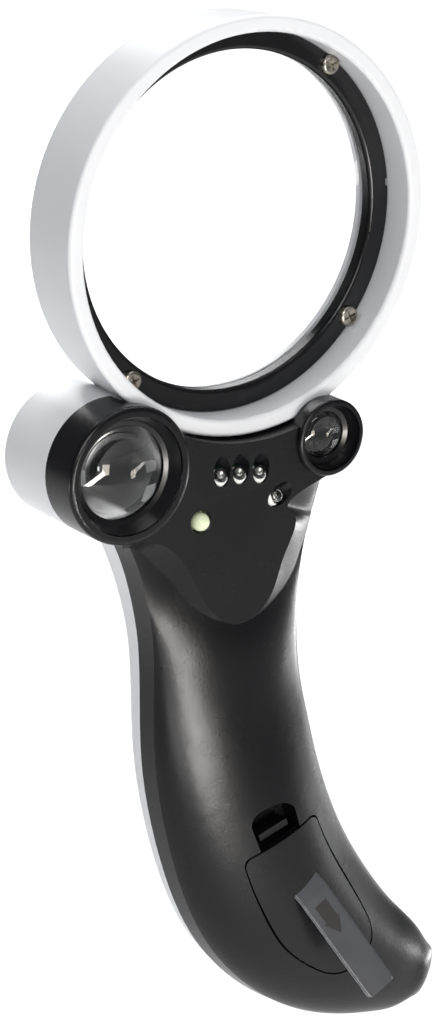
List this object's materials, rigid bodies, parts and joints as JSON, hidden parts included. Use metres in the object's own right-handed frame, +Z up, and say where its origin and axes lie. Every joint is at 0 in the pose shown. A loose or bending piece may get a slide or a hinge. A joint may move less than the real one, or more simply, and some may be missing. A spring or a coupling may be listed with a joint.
{
  "type": "hand-held illuminated magnifier",
  "caption": "Hand-held illuminated magnifier with a large round lens, loupe barrels at the neck, lamps and a curved battery handle, used to inspect bank notes.",
  "frame": {"origin": "middle of the hand grip, on the parting plane between the black front shell and the white rear body", "axes": "+Z up along the handle towards the lens, +X to the right of someone facing the black front, the front looks along -Y"},
  "size_m": [0.1004, 0.0405, 0.2347],
  "materials": {
    "white_plastic": "satin white ABS",
    "black_plastic": "fine-textured satin black ABS",
    "black_gloss": "smooth black ABS with a bright rounded edge",
    "clear_acrylic": "polished clear acrylic",
    "nickel_screw": "nickel-plated steel",
    "clear_lamp": "clear epoxy lamp",
    "phosphor_lamp": "clear epoxy with yellow phosphor",
    "circuit_board": "green solder mask",
    "ceramic": "ceramic chip",
    "tinned_contact": "tinned spring steel",
    "cell_steel": "nickel-plated can",
    "red_insulation": "PVC insulation",
    "black_insulation": "PVC insulation",
    "grey_film": "translucent polyester film"
  },
  "bodies": {
    "body": {"rear_body": "white_plastic", "front_shell": "black_plastic", "main_lens": "clear_acrylic", "lens_retainer": "black_gloss", "lens_screws": "nickel_screw", "large_loupe_bezel": "black_gloss", "large_loupe_lens": "clear_acrylic", "large_loupe_spacer": "black_gloss", "large_loupe_eye_lens": "clear_acrylic", "small_loupe_bezel": "black_gloss", "small_loupe_lens": "clear_acrylic", "small_loupe_spacer": "black_gloss", "small_loupe_eye_lens": "clear_acrylic", "reading_lamp_left": "clear_lamp", "reading_lamp_middle": "clear_lamp", "reading_lamp_right": "clear_lamp", "uv_lamp": "clear_lamp", "torch_lamp": "phosphor_lamp", "circuit_board": "circuit_board", "board_screws": "nickel_screw", "resistors": "ceramic", "slide_switch": "ceramic", "case_screws": "nickel_screw", "upper_cell": "cell_steel", "lower_cell": "cell_steel", "negative_contact": "tinned_contact", "positive_contact": "tinned_contact", "positive_wire": "red_insulation", "negative_wire": "black_insulation"},
    "battery_door": {"battery_door": "black_plastic", "door_contact": "tinned_contact"},
    "pull_tab": {"pull_tab": "grey_film"},
    "switch_knob": {"switch_knob": "black_plastic", "switch_lever": "black_plastic"}
  },
  "joints": [
    {"name": "battery_door_hinge", "type": "hinge", "parent": "body", "child": "battery_door", "pos_m": [0.0286, -0.0119, -0.0624], "axis": [0.887, 0, 0.4618], "range_deg": [0, 70]},
    {"name": "pull_tab_slide", "type": "slide", "parent": "battery_door", "child": "pull_tab", "axis": [0.3971, -0.5736, -0.7164], "range_m": [0, 0.007]},
    {"name": "switch_slide", "type": "slide", "parent": "body", "child": "switch_knob", "axis": [0, 0, 1], "range_m": [-0.002, 0.002]}
  ]
}
